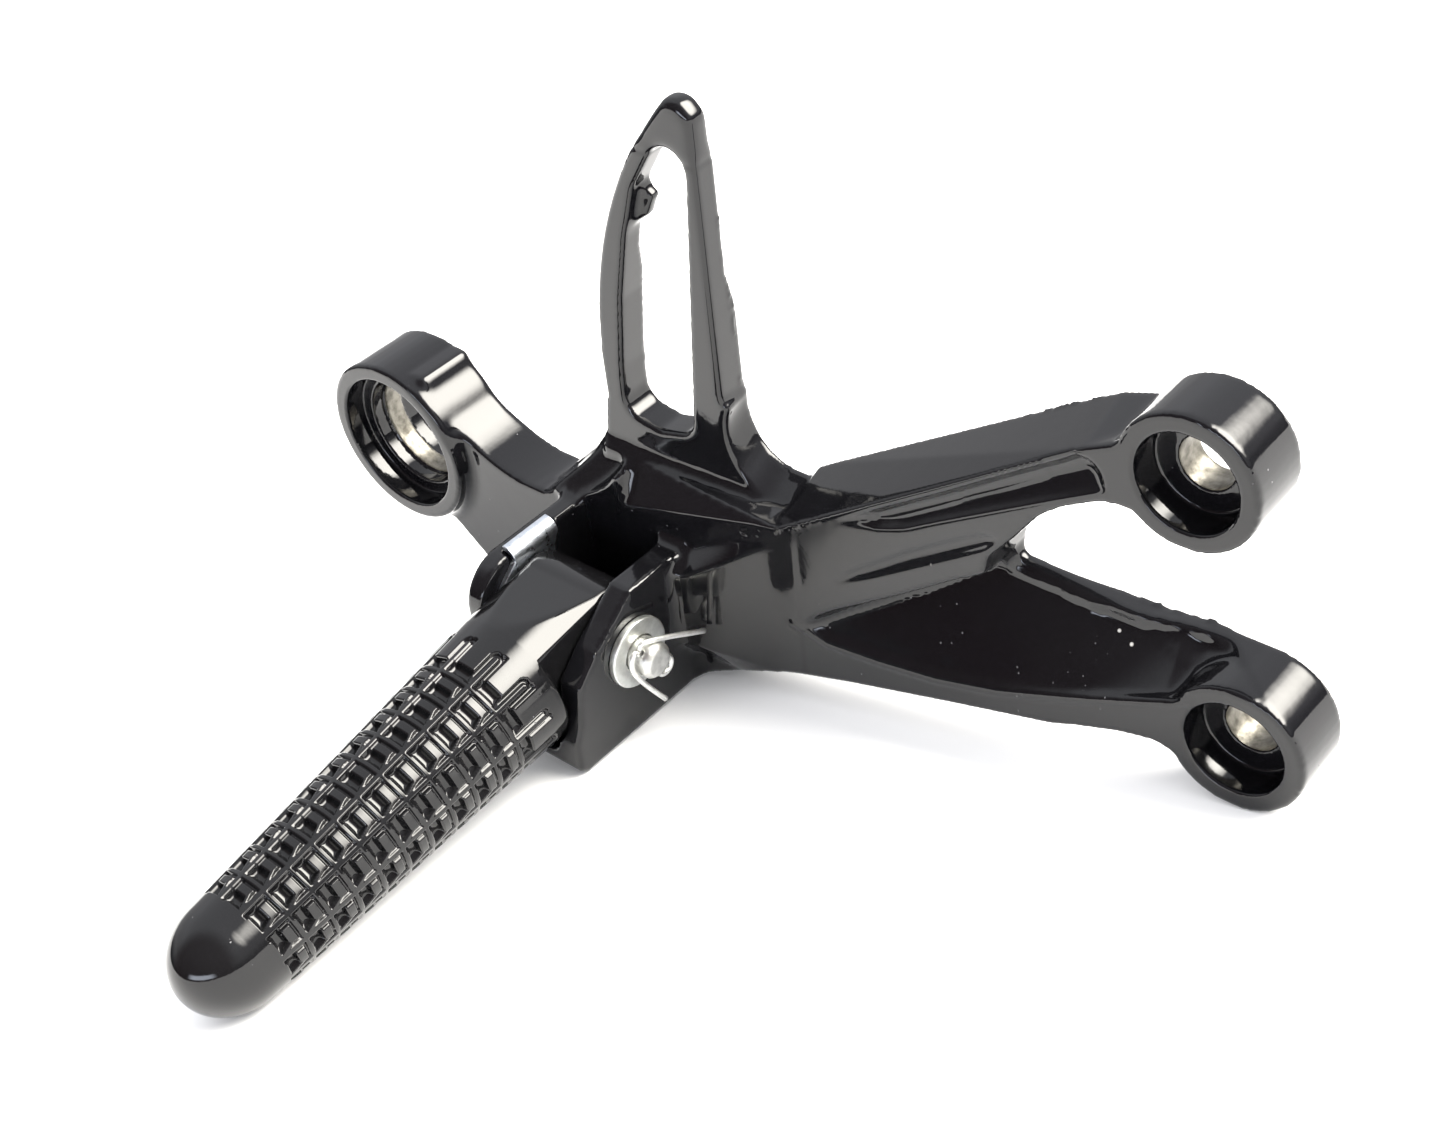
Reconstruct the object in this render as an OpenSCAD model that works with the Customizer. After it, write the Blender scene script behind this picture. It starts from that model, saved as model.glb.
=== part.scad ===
// Passenger foot peg with its cast hanger bracket.
// Every position is measured from the middle of the pivot axis: +X along the pin
// towards the split pin, -Y out along the peg, +Z up the heel guard.
// The finished part is then moved so that its origin is the upper frame bolt hole.

/* [Pivot] */
// Diameter of the pivot pin
pin_d = 8; // [7:0.5:9]
// Width of the peg's tongue between the ears
tongue_w = 21.5; // [20:0.5:24]
// Thickness of each ear
ear_t = 6.2; // [5:0.2:8]
// How far the peg hangs below level when it rests on its stop, in degrees
droop = 7; // [4:0.5:9]

/* [Foot peg] */
// Distance from the pivot axis to the tip of the peg
peg_length = 112.5; // [108:0.5:120]
// Radius of the grip at its shoulder
grip_r_inner = 15.7; // [14.5:0.1:16]
// Radius of the grip where the smooth cap starts
grip_r_outer = 11.9; // [10.5:0.1:13]
// Spacing of the rings of the grip pattern
ring_pitch = 6.3; // [5.5:0.1:6.6]

/* [Bracket casting] */
// Depth of the two right bosses, front to back
boss_depth = 14.2; // [12:0.1:18]
// Outer radius of the two right bosses
boss_r = 13.3; // [12.5:0.1:15]
// Radius of the bolt holes in the right bosses
bolt_r = 5.25; // [4.2:0.05:6]
// Radius of the counterbores in the right bosses
counterbore_r = 9.6; // [8.5:0.1:10.5]
// Outer radius of the left boss
left_boss_r = 20.4; // [19:0.1:22]
// Radius of the stepped hole through the left boss
left_hole_r = 13.5; // [12:0.1:14]
// Height of the heel guard above the pivot axis
guard_top = 115.5; // [110:0.5:120]

/* [Hidden] */
$fn = 48;

// Boss centres in the X-Z plane
upper_boss = [131.8, 78.5];
lower_boss = [143.9, 25.9];
left_boss = [-68.4, 10.4];

// Depth stations along Y
front_y = 18.5;
back_y = front_y + boss_depth;
left_front_y = back_y - 17.9;
guard_y = back_y - 8;
counterbore_depth = 7;

// Height of the clevis pocket's top edge
pocket_z = 14.7;

// Clevis heights and ear planes
ear_top = 15;
ear_bottom = -21;
side_gap = 0.35;
sheet = 1.2;
ear_in = tongue_w / 2 + side_gap;
ear_out = ear_in + ear_t;
left_in = -ear_in - sheet;
left_ear_t = 5;
left_out = left_in - left_ear_t;
ear_front = -20;
fit = 0.05;

// Fasteners
washer_t = 1.6;
washer_r = 8;
washer_face = ear_out + washer_t;
head_t = 2.4;
head_r = 6;
pin_end = washer_face + 5.5;
pin_chamfer = 0.9;
cotter_x = washer_face + 2.4;
cotter_r = 0.95;
cotter_tilt = 52;
leg_r = 0.62;
lap = 0.3;

// Setting plate and detent
tab_w = 13.2;
tab_y = 3;
ball_r = 3;
crest_tilt = 29;
detent_bore_r = ball_r + fit;
detent_depth = 12;
detent_y = -7;
wire_r = 0.4;
coil_r = 2.3;
coil_turns = 6;

// Peg along its own axis, from the pivot outwards
shoulder = 19.5;
grip_end = 96.2;
tongue_r = 11.5;
tongue_side = tongue_w / 2;
ring_start = 33.2;
ring_count = 11;
groove_w = 1.2;
groove_deep = 0.9;

// Origin of the finished part
origin = [upper_boss[0], back_y, upper_boss[1]];

module place() {
    translate(-origin) children();
}

// Turns an outline drawn in X-Z into a slab from y0 to y1
module slab(y0, y1) {
    translate([0, y1, 0]) rotate([90, 0, 0]) linear_extrude(y1 - y0) children();
}

// Turns an outline drawn in Y-Z into a wall from x0 to x1
module wall(x0, x1) {
    translate([x0, 0, 0]) rotate([90, 0, 90]) linear_extrude(x1 - x0) children();
}

// Round bar along Y centred on an X-Z point
module bar_y(c, r, y0, y1) {
    translate([c[0], y1, c[1]]) rotate([90, 0, 0]) cylinder(r = r, h = y1 - y0, $fn = 96);
}

// Round bar along X on the pivot axis
module bar_x(r, x0, x1) {
    translate([x0, 0, 0]) rotate([0, 90, 0]) cylinder(r = r, h = x1 - x0, $fn = 64);
}

module left_arm() {
    sweep_c = [-28.3, 45.6];
    sweep_r = 33.5;
    slab(front_y, back_y) difference() {
        polygon([[-58, -9], [-48, -17.5], [-42, ear_bottom], [0, ear_bottom], [0, 30], [-62, 30]]);
        translate(sweep_c) circle(r = sweep_r, $fn = 96);
    }
    bar_y(left_boss, left_boss_r, left_front_y, back_y);
}

// Outline of the right-hand plate at its front face, without the bosses
module right_outline() {
    polygon([[-20, ear_bottom], [17, ear_bottom], [22, -18], [35, -10.8], [46, -6.5], [59.4, -2.1],
             [84, 5.4], [107, 12.1], [111.7, 14.2], [121.2, 17.8], [128, 19.4], [132.4, 19],
             [136, 15.8], [144, 26], [144, 39.2], [132, 39.8], [120.7, 38.4], [104, 36.6], [89, 35],
             [92.8, 42.3], [93.5, 46.2], [98.4, 52.4], [104.1, 60.2], [108.2, 63.6], [112.1, 66.3],
             [116, 68.4], [122, 69.3], [130, 68], [130, 88], [121, 82.8], [113, 78.6], [82, 57],
             [58, 40.9], [44, 31.4], [34, 25.6], [ear_out + 2, 17.5], [ear_in, pocket_z],
             [-20, pocket_z]]);
}

// Recess in the front face whose floor starts near the face on the line p-q and gets deeper above it
module sloped_recess(p, q, start, rise) {
    run = atan2(q[1] - p[1], q[0] - p[0]);
    intersection() {
        slab(front_y - 1, back_y) children();
        translate([p[0], front_y + start, p[1]]) rotate([0, -run, 0]) rotate([-rise, 0, 0])
            translate([-80, -60, -60]) cube([280, 60, 160]);
    }
}

// Space in front of the lower arm's web, which runs back from the arm's lower edge to its upper rim
module web_space() {
    hull() {
        slab(front_y - 1, front_y + 0.5)
            polygon([[44, 4], [54, 6.9], [66.6, 8.3], [80.9, 10.8], [94.6, 14.8], [110.6, 21.5],
                     [129, 30.3], [150, 36], [150, 48], [96, 48], [57, 20]]);
        translate([56, front_y, 15]) cube([1, 1.5, 1]);
        translate([93, front_y, 41]) cube([1, 4, 1]);
        translate([136, front_y, 39.5]) cube([1, 11.2, 6]);
    }
}

module lower_pocket() {
    intersection() {
        slab(front_y - 1, back_y) difference() {
            polygon([[47, 8.6], [57, 15.8], [73.5, 27.4], [93, 42.2], [96, 46], [150, 46], [150, 36],
                     [129, 30.3], [110.6, 21.5], [94.6, 14.8], [80.9, 10.8], [66.6, 8.3], [54, 6.9]]);
            translate(lower_boss) circle(r = boss_r, $fn = 96);
            translate([112, 76]) rotate(-10) square([40, 20], center = true);
        }
        web_space();
    }
}

// Sloping channel under the front edge of the upper arm
module upper_channel() {
    sloped_recess([75.2, 44.8], [107.5, 65.1], 0.25, 24)
        polygon([[56, 38.4], [82, 56], [111.4, 76.4], [114.5, 76.4], [116.4, 74.3], [117.4, 71.6],
                 [116.2, 70.2], [107.5, 65.1], [97.3, 58.8], [83.2, 50], [75.2, 44.8], [68.2, 42],
                 [63.4, 40.6]]);
}

// Shallow scoop between the two arms' roots
module root_scoop() {
    sloped_recess([59.3, 24.4], [86.3, 42.9], 0.2, 10)
        polygon([[53.1, 21], [62.7, 30.1], [75, 39.9], [86.4, 47.9], [91.4, 51.2], [98, 53],
                 [93.5, 48.1], [86.3, 42.9], [68.7, 30.6], [59.3, 24.4]]);
}

// The top of the upper arm climbs from its front edge to its back edge
module arm_crest() {
    hull() {
        slab(front_y, front_y + 0.1) polygon([[42.8, 30.8], [112.7, 78.3], [119, 80.6], [119, 70], [60, 36]]);
        slab(back_y - 0.1, back_y)
            polygon([[44, 38.6], [106, 78], [112, 81.6], [119, 84], [119, 70], [44, 31]]);
    }
}

// Sloping crown that joins the plate, the pocket edge and the heel guard
module crown() {
    hull() {
        slab(front_y, front_y + 0.1)
            polygon([[-24, 2], [-24, 11.8], [ear_in, pocket_z], [ear_out + 2, 17.5], [44, 31.4], [44, 2]]);
        slab(guard_y - 0.6, back_y)
            polygon([[-27, 2], [-24, 12.4], [-8, 28.2], [37, 28.2], [44, 31.4], [44, 2]]);
    }
}

// Rounded bead along the foot of the heel guard
module guard_bead() {
    bead_r = 1.6;
    translate([0, guard_y - 0.3, 28.2]) {
        translate([-7, 0, 0]) rotate([0, 90, 0]) cylinder(r = bead_r, h = 42, $fn = 48);
        translate([35, 0, 0]) sphere(r = bead_r, $fn = 48);
    }
}

module guard_outline() {
    arc_c = [95.5, 48];
    arc_r = 101.5;
    side_x = 26.3;
    difference() {
        intersection() {
            translate(arc_c) circle(r = arc_r, $fn = 180);
            polygon([[-40, 12], [side_x, 12], [side_x, guard_top - 3], [side_x - 3, guard_top],
                     [16, guard_top], [-40, 90]]);
        }
        offset(r = 4.5, $fn = 32) offset(delta = -4.5)
                polygon([[-1.2, 38.8], [8, 37.4], [17.4, 40], [23.8, 105], [16.2, 105], [9.2, 94], [5.4, 82],
                         [2, 67], [-0.4, 50]]);
    }
}

// Flares where the heel guard grows out of the two arms
module guard_flares() {
    flare_r = 11;
    difference() {
        slab(guard_y, back_y) polygon([[24, 24], [24, 50], [37.8, 50], [46, 40], [46, 24]]);
        translate([37.8, back_y, 48.2]) rotate([90 + crest_tilt, 0, 0])
            cylinder(r = flare_r, h = 40, center = true, $fn = 96);
        translate([37.8, back_y, 48.2]) rotate([crest_tilt, 0, 0])
            translate([0, -20, -flare_r]) cube([20, 40, 40]);
    }
    slab(guard_y, back_y)
        polygon([[-27, 10], [-24.2, 13], [-17, 20.6], [-11.5, 26], [-8, 31], [-6.6, 40], [0, 40], [0, 10]]);
}

module heel_guard() {
    difference() {
        slab(guard_y, back_y) guard_outline();
        wall(-50, 60)
            polygon([[back_y, 50], [back_y + 3, 50], [back_y + 3, 125], [back_y - 2.6, 125],
                     [back_y - 2.2, 78], [back_y - 0.5, 71]]);
    }
    guard_flares();
    // Small casting nub inside the upper left of the slot
    slab(back_y - 5, back_y - 2.4) polygon([[5, 83.5], [9.6, 87], [11.8, 91.8], [8.5, 93]]);
}

module right_ear() {
    wall(ear_in, ear_out)
        polygon([[1.4, ear_top], [-5.5, 10.1], [-10.8, 6.6], [-16.7, 1], [-18, -7.6], [-20, -11.8],
                 [ear_front, -19.5], [-18.4, ear_bottom], [front_y + 2, ear_bottom],
                 [front_y + 2, ear_top]]);
}

module left_ear() {
    corner = 10;
    wall(left_out, left_in) {
        translate([-14 + corner, ear_top - corner]) circle(r = corner, $fn = 64);
        polygon([[-14 + corner, ear_top], [front_y + 2, ear_top], [front_y + 2, ear_bottom],
                 [-18.4, ear_bottom], [ear_front, -19.5], [-20, -11.8], [-14, 2],
                 [-14, ear_top - corner]]);
    }
}

module clevis_floor() {
    wall(left_in - 1, ear_in + 1)
        polygon([[-20, ear_bottom + 1.5], [-18.4, ear_bottom], [front_y + 2, ear_bottom],
                 [front_y + 2, -17], [-20, -17]]);
}

// Clear space for the shoulder and the grip while the peg is out
module grip_relief() {
    along_peg() translate([0, 0, 18.9]) cylinder(r = grip_r_inner + 0.5, h = 30, $fn = 96);
}

module bolt_hole(c) {
    bar_y(c, bolt_r, front_y - 1, back_y + 1);
    bar_y(c, counterbore_r, front_y - 1, front_y + counterbore_depth);
}

module left_hole() {
    bar_y(left_boss, left_hole_r + 3, left_front_y - 1, left_front_y + 5.5);
    bar_y(left_boss, left_hole_r, left_front_y + 5, left_front_y + 9);
    bar_y(left_boss, left_hole_r - 0.6, left_front_y + 8, left_front_y + 15);
    bar_y(left_boss, left_hole_r, left_front_y + 14, back_y + 1);
}

module bracket() {
    color([0.05, 0.05, 0.055]) place() difference() {
        union() {
            left_arm();
            slab(front_y, back_y) right_outline();
            crown();
            guard_bead();
            arm_crest();
            heel_guard();
            right_ear();
            left_ear();
            clevis_floor();
            bar_y(upper_boss, boss_r, front_y, back_y);
            bar_y(lower_boss, boss_r + 0.2, front_y, back_y);
        }
        lower_pocket();
        upper_channel();
        root_scoop();
        bolt_hole(upper_boss);
        bolt_hole(lower_boss);
        left_hole();
        grip_relief();
        bar_x(pin_d / 2 + fit, left_out - 1, ear_out + 1);
    }
}

// Local frame of the peg: Z runs out along its axis, +Y is its top side
module along_peg() {
    rotate([90 + droop, 0, 0]) children();
}

module grip_body() {
    cap_length = peg_length - grip_end;
    cap_straight = 3;
    taper = (grip_r_inner - grip_r_outer) / (grip_end - shoulder);
    cap_r = grip_r_outer - taper * cap_straight;
    translate([0, 0, shoulder])
        cylinder(r1 = grip_r_inner, r2 = grip_r_outer, h = grip_end - shoulder, $fn = 96);
    rotate_extrude($fn = 96) polygon(concat(
        [[0, grip_end], [grip_r_outer, grip_end]],
        [for (a = [0:7.5:90])
            [cap_r * cos(a), grip_end + cap_straight + (cap_length - cap_straight) * sin(a)]]));
}

module grip_rings() {
    taper = (grip_r_inner - grip_r_outer) / (grip_end - shoulder);
    for (i = [0:ring_count - 2]) {
        s = ring_start + (i + 0.62) * ring_pitch;
        r = grip_r_inner - taper * (s - shoulder);
        translate([0, 0, s]) difference() {
            cylinder(r = r + 1, h = groove_w, $fn = 96);
            translate([0, 0, -1]) cylinder(r = r - groove_deep, h = groove_w + 2, $fn = 96);
        }
    }
}

module tongue() {
    translate([-tongue_side, -tongue_r, 0]) cube([tongue_w, 2 * tongue_r, shoulder + 1]);
    translate([-tongue_side, 0, 0]) rotate([0, 90, 0]) cylinder(r = tongue_r, h = tongue_w, $fn = 96);
}

module foot_peg() {
    color([0.04, 0.04, 0.045]) place() difference() {
        along_peg() {
            difference() {
                grip_body();
                grip_rings();
            }
            tongue();
        }
        bar_x(pin_d / 2 + fit, -tongue_side - 1, tongue_side + 1);
        detent_bore();
    }
}

// Blind bore in the left side of the tongue for the detent spring and ball
module detent_bore() {
    translate([-tongue_side - 1, detent_y, 0]) rotate([0, 90, 0])
        cylinder(r = detent_bore_r, h = detent_depth + 1, $fn = 48);
}

module pivot_pin() {
    color([0.75, 0.75, 0.72]) place() difference() {
        union() {
            bar_x(head_r, left_out - head_t, left_out);
            bar_x(pin_d / 2, left_out - 0.1, pin_end - pin_chamfer);
            translate([pin_end - pin_chamfer, 0, 0]) rotate([0, 90, 0])
                cylinder(r1 = pin_d / 2, r2 = pin_d / 2 - pin_chamfer, h = pin_chamfer, $fn = 64);
        }
        cotter_frame() translate([0, 0, -pin_d]) cylinder(r = cotter_r + fit, h = 2 * pin_d, $fn = 32);
    }
}

module plain_washer() {
    color([0.8, 0.8, 0.78]) place() difference() {
        bar_x(washer_r, ear_out, washer_face);
        bar_x(pin_d / 2 + 0.2, ear_out - 1, washer_face + 1);
    }
}

// Local frame of the split pin: Z runs through the pin towards the bent legs
module cotter_frame() {
    translate([cotter_x, 0, 0]) rotate([90 - cotter_tilt, 0, 0]) children();
}

module leg(points) {
    for (i = [0:len(points) - 2]) {
        step = points[i + 1] - points[i];
        turn = atan2(step[1], step[0]);
        tilt = atan2(norm([step[0], step[1]]), step[2]);
        translate(points[i]) rotate([0, tilt, turn]) translate([0, 0, -lap])
            cylinder(r = leg_r, h = norm(step) + 2 * lap, $fn = 8);
    }
}

module split_pin() {
    mouth = pin_d / 2 + 1.1;
    eye_r = 2.2;
    color([0.82, 0.82, 0.8]) place() {
        cotter_frame() {
            translate([0, 0, -pin_d / 2 - 0.6]) cylinder(r = cotter_r, h = mouth + pin_d / 2 + 0.3, $fn = 12);
            translate([0, 0, -pin_d / 2 - eye_r - 0.3]) rotate([0, 90, 0])
                rotate_extrude($fn = 48) translate([eye_r, 0]) circle(r = leg_r, $fn = 8);
        }
        // upper leg
        leg([
            [cotter_x, -2.6, 3.4],
            [cotter_x, -2.2, 5.2],
            [cotter_x + 0.6, 1.4, 5.0],
            [cotter_x + 3.6, 14, -1.1]
        ]);
        // lower leg
        leg([
            [cotter_x, -2.8, 3.2],
            [cotter_x, -4.9, 2.6],
            [cotter_x + 0.3, -5.2, -0.8],
            [cotter_x + 1.6, 1.4, -12]
        ]);
    }
}

module setting_plate() {
    plate_x = left_in;
    color([0.72, 0.76, 0.8]) place() {
        difference() {
            wall(plate_x, plate_x + sheet)
                polygon([[tab_y - tab_w / 2, ear_top], [tab_y + tab_w / 2, ear_top], [tab_y + 4.5, 8],
                         [tab_y + 6, 0], [2, -9], [-8, -9], [-13, -2], [-11.4, 6], [-8, 10]]);
            bar_x(pin_d / 2 + 0.2, plate_x - 1, plate_x + sheet + 1);
        }
        translate([plate_x - 2.2, tab_y - tab_w / 2, ear_top]) cube([2.2 + sheet, tab_w, sheet]);
    }
}

module detent_ball() {
    color([0.8, 0.8, 0.8]) place()
        translate([left_in + sheet + fit + ball_r, detent_y, 0]) sphere(r = ball_r, $fn = 48);
}

module detent_spring() {
    x0 = left_in + sheet + 2 * ball_r - 0.6;
    x1 = -tongue_side + detent_depth - 0.1;
    pitch = (x1 - x0 - 2 * wire_r) / (coil_turns - 1);
    color([0.7, 0.7, 0.7]) place() translate([x0 + wire_r, detent_y, 0]) rotate([0, 90, 0]) {
        for (i = [0:coil_turns - 1])
            translate([0, 0, i * pitch]) rotate_extrude($fn = 32) translate([coil_r, 0])
                circle(r = wire_r, $fn = 16);
        for (i = [0:coil_turns - 2])
            rotate(180 * i) translate([coil_r, 0, i * pitch]) cylinder(r = wire_r - 0.1, h = pitch, $fn = 16);
    }
}

bracket();
foot_peg();
pivot_pin();
plain_washer();
split_pin();
setting_plate();
detent_ball();
detent_spring();
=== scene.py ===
import math

import bmesh
import bpy
import numpy as np
import openvdb
from mathutils import Matrix, Vector


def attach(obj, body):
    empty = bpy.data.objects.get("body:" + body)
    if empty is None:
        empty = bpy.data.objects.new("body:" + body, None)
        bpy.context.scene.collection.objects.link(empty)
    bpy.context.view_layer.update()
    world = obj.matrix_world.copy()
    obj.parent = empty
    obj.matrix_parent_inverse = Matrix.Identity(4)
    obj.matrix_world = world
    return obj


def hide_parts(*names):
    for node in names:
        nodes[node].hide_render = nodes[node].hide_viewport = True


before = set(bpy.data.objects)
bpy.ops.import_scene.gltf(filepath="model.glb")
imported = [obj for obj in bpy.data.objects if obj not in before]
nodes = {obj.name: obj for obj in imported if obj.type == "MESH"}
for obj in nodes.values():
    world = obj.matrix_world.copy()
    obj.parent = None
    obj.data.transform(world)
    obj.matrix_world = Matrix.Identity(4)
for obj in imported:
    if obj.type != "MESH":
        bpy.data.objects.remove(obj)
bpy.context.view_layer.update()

# All drawing is done in millimetres about the middle of the pivot axis: +X along the pin, -Y out along the
# peg, +Z up the heel guard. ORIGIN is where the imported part's origin (the upper frame bolt hole) lies in it.
MM = 0.001
UPPER_BOSS = (131.8, 78.5)
LOWER_BOSS = (143.9, 25.9)
LEFT_BOSS = (-68.4, 10.4)
FRONT_Y = 18.5
BACK_Y = 32.7
LEFT_FRONT_Y = BACK_Y - 17.9
ORIGIN = np.array([UPPER_BOSS[0], BACK_Y, UPPER_BOSS[1]])

# Machined holes in the casting
BOLT_R = 5.25
COUNTERBORE_R = 9.6
SEAT_Y = FRONT_Y + 7
RING_MOUTH_R = 16.5
RING_STEP_R = 13.5
RING_LIP_R = 12.9
LIP_Y = LEFT_FRONT_Y + 9
LIP_END_Y = LEFT_FRONT_Y + 14

# Clevis, pin and peg sizes, as in the CAD model
TONGUE_HALF = 10.75
EAR_IN = 11.1
EAR_OUT = 17.3
SHEET = 1.2
LEFT_IN = -EAR_IN - SHEET
LEFT_OUT = LEFT_IN - 5.0
EAR_TOP = 15.0
PIN_R = 4.0
PIN_HOLE_R = 4.05
HEAD_R = 6.0
HEAD_T = 2.4
WASHER_R = 8.0
WASHER_HOLE_R = 4.2
WASHER_FACE = EAR_OUT + 1.6
PIN_END = WASHER_FACE + 5.5
COTTER_X = WASHER_FACE + 2.4
DROOP = math.radians(7)
SHOULDER = 19.5
GRIP_R0 = 15.7
GRIP_R1 = 11.9
GRIP_END = 96.2
PEG_LENGTH = 112.5
BALL_R = 3.05
BALL_Y = -7.0
BALL_BORE_DEPTH = 12


# ---------------------------------------------------------------- meshes


def to_row(points):
    """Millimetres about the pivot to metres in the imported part's frame."""
    return (np.asarray(points, float) - ORIGIN) * MM


def coordinates(mesh, width=3):
    """The mesh's vertices as a float32 array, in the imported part's frame."""
    out = np.zeros(len(mesh.vertices) * width, np.float32)
    mesh.vertices.foreach_get("co", out)
    return out.reshape(-1, width)


def add_object(name, mesh):
    obj = bpy.data.objects.new(name, mesh)
    bpy.context.scene.collection.objects.link(obj)
    return obj


def shade_smooth(mesh):
    mesh.polygons.foreach_set("use_smooth", [True] * len(mesh.polygons))


def new_mesh(name, verts, faces, smooth=True):
    mesh = bpy.data.meshes.new(name)
    mesh.from_pydata([tuple(v) for v in to_row(verts)], [], faces)
    mesh.update()
    if smooth:
        shade_smooth(mesh)
    return add_object(name, mesh)


def quad_mesh(name, verts, quads):
    """Smooth mesh of many quads, filled from numpy arrays for speed."""
    mesh = bpy.data.meshes.new(name)
    mesh.vertices.add(len(verts))
    mesh.vertices.foreach_set("co", to_row(verts).astype(np.float32).ravel())
    corners = np.asarray(quads, np.int32)
    mesh.loops.add(corners.size)
    mesh.loops.foreach_set("vertex_index", corners.ravel())
    mesh.polygons.add(len(corners))
    mesh.polygons.foreach_set("loop_start", np.arange(0, corners.size, 4, dtype=np.int32))
    mesh.polygons.foreach_set("use_smooth", np.ones(len(corners), bool))
    mesh.update(calc_edges=True)
    mesh.validate()
    return add_object(name, mesh)


def ring_quads(rings, around, closed=False):
    """Quads between rings of vertices that follow one another, as an array of four columns."""
    i = np.arange(rings if closed else rings - 1)[:, None]
    j = np.arange(around)[None, :]
    here, ahead, k = i * around, (i + 1) % rings * around, (j + 1) % around
    return here + j, here + k, ahead + j, ahead + k


def as_tuples(corners):
    return [tuple(int(c) for c in f) for f in np.stack(corners, -1).reshape(-1, 4)]


def clean(obj):
    """Welds doubled points and turns the faces outwards."""
    bm = bmesh.new()
    bm.from_mesh(obj.data)
    bmesh.ops.remove_doubles(bm, verts=bm.verts, dist=2e-6)
    bmesh.ops.dissolve_degenerate(bm, dist=1e-6, edges=bm.edges)
    bmesh.ops.recalc_face_normals(bm, faces=bm.faces)
    bm.to_mesh(obj.data)
    bm.free()


def smooth_by_angle(obj, degrees=32):
    shade_smooth(obj.data)
    obj.data.set_sharp_from_angle(angle=math.radians(degrees))


def bar(name, r, start, end, segments=96):
    """Closed round bar between two points, for cutting."""
    start, end = np.array(start, float), np.array(end, float)
    axis = (end - start) / np.linalg.norm(end - start)
    side = np.cross(axis, [0.0, 0.0, 1.0] if abs(axis[2]) < 0.9 else [1.0, 0.0, 0.0])
    side /= np.linalg.norm(side)
    other = np.cross(axis, side)
    turn = np.linspace(0, 2 * math.pi, segments, endpoint=False)
    ring = [math.cos(a) * side + math.sin(a) * other for a in turn]
    verts = [start + r * d for d in ring] + [end + r * d for d in ring]
    n = segments
    faces = [(i, (i + 1) % n, n + (i + 1) % n, n + i) for i in range(n)]
    faces += [tuple(range(n - 1, -1, -1)), tuple(range(n, 2 * n))]
    return new_mesh(name, verts, faces, smooth=False)


def cut(obj, tools):
    """Subtracts each tool from obj and removes the tool."""
    for tool in tools:
        modifier = obj.modifiers.new("cut", "BOOLEAN")
        modifier.operation = "DIFFERENCE"
        modifier.solver = "EXACT"
        modifier.object = tool
        depsgraph = bpy.context.evaluated_depsgraph_get()
        mesh = bpy.data.meshes.new_from_object(obj.evaluated_get(depsgraph))
        obj.modifiers.clear()
        obj.data = mesh
        bpy.data.objects.remove(tool)


# ---------------------------------------------------------------- bracket casting

VOXEL = 0.4
MARGIN = 6.0
BAND = 4.5               # distances are kept up to this far from the surface
FILLET = 2.2
EDGE_ROUND = 0.65
BORE_EDGE = 0.45
CLEAR = 2                # how far a cutter runs past the surface

# The lower arm's web, as values at stations along X: where it starts, where it meets the flange, how it leans
WEB_ENDS = (47, 134)
WEB_FOOT = ([47, 54, 66.6, 80.9, 94.6, 110.6, 129, 136], [8.6, 6.9, 8.3, 10.8, 14.8, 21.5, 30.3, 33.5])
WEB_RIM = ([47, 57, 73.5, 89, 137], [8.6, 15.8, 27.4, 39.0, 38.2])
WEB_LEAN = ([50, 73.5, 93, 110, 129, 134], [0.42, 0.41, 0.42, 0.58, 1.2, 1.9])
WEB_DEEPEST = 29.4
WEB_BOSS_R = 13.0        # the web's cut stays outside this radius about the lower boss

# Edges where the casting's parting line was left rough: polyline points and the height of the flash
FLASH = [
    ([(17.3, -10.8, 6.6), (17.3, -5.5, 10.1), (17.3, 1.4, 15.0), (17.6, 18.5, 16.5)], 0.35),
    ([(19.3, 18.5, 17.5), (34, 18.5, 25.6), (44, 18.5, 31.4), (58, 18.5, 40.9)], 0.3),
    ([(92, 31.8, 35.2), (104, 31.8, 36.6), (120.7, 32.2, 38.4), (132, 32.2, 39.8)], 0.45),
    ([(26.3, 31.5, 50), (26.3, 31, 70), (26.3, 30, 95)], 0.2),
    ([(93, 32.3, 70), (108, 32.3, 79.5)], 0.35),
    ([(-7, 24.4, 29.8), (10, 24.4, 29.8), (34, 24.4, 29.8)], 0.2),
    ([(-48.5, 32.2, 28), (-40, 32.2, 16), (-28, 32.2, 12.2)], 0.3)]
FLASH_WIDTH = 0.7
FLASH_REACH = 2.5

GRIT_COUNT = 997
GRIT = np.random.default_rng(11).random(GRIT_COUNT).astype(np.float32)
GRIT_STEPS = (73, 151, 283)
GRIT_SIZES = ((2.6, 0.6), (0.9, 0.4))        # grain size in mm and its share of the height


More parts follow.
